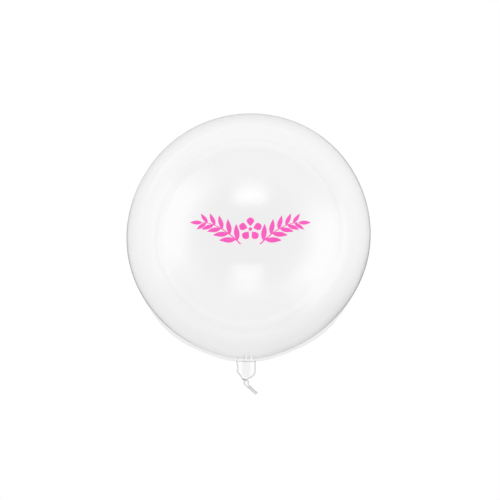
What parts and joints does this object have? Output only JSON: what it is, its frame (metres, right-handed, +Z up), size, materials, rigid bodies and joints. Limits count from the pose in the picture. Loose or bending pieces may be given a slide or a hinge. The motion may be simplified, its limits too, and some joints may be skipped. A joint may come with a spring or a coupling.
{
  "type": "clear balloon",
  "caption": "Clear film balloon: an air-filled ball of two welded film panels, with a flat filling neck pinched shut and a short twisted free end.",
  "frame": {"origin": "the middle of the small flat spot that the balloon rests on, on the ball's back panel", "axes": "+Z up, square to the level weld and out of the balloon's front; -Y along the filling neck; +X to the right as the front is seen with the neck down"},
  "size_m": [0.4024, 0.4648, 0.3981],
  "materials": {
    "clear_film": "clear glossy film",
    "pink_vinyl": "pink cut vinyl"
  },
  "bodies": {
    "root": {"envelope": "clear_film"}
  },
  "joints": []
}
